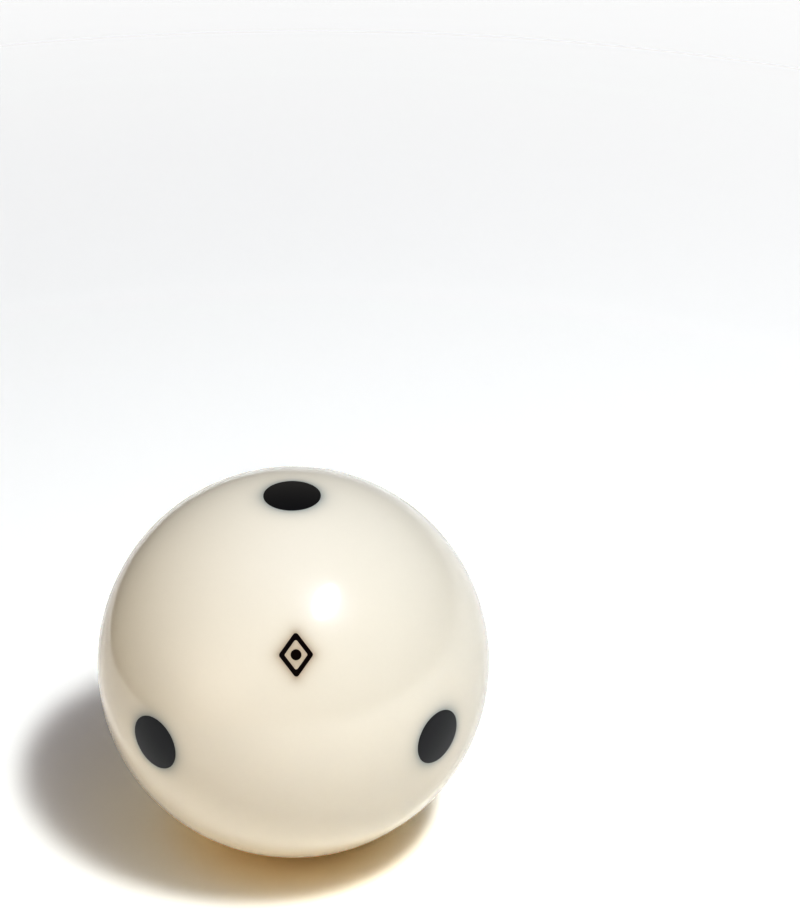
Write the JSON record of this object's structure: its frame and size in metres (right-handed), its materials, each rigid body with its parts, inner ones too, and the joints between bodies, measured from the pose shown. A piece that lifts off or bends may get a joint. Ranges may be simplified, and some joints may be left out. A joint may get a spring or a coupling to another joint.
{
  "type": "spotted cue ball",
  "caption": "Solid ivory resin cue ball with round black sight spots set flush in its skin and one small inlaid lozenge mark.",
  "frame": {"origin": "centre of the ball", "axes": "+Z through the top spot, +X through the right-hand spot, -Y through the front spot; the mark is midway between the +X, -Y and +Z spots, upright along +Z"},
  "size_m": [0.0572, 0.0572, 0.0572],
  "materials": {
    "ivory_resin": "cast phenolic resin, ivory, slightly translucent, ground round and polished to a high gloss",
    "black_resin": "cast black resin, ground flush and polished with the ball",
    "mark_resin": "brown-black resin filling, polished flush"
  },
  "bodies": {
    "root": {"ball_body": "ivory_resin", "spot_top": "black_resin", "spot_bottom": "black_resin", "spot_front": "black_resin", "spot_back": "black_resin", "spot_right": "black_resin", "spot_left": "black_resin", "mark_band": "mark_resin", "mark_dot": "mark_resin"}
  },
  "joints": []
}
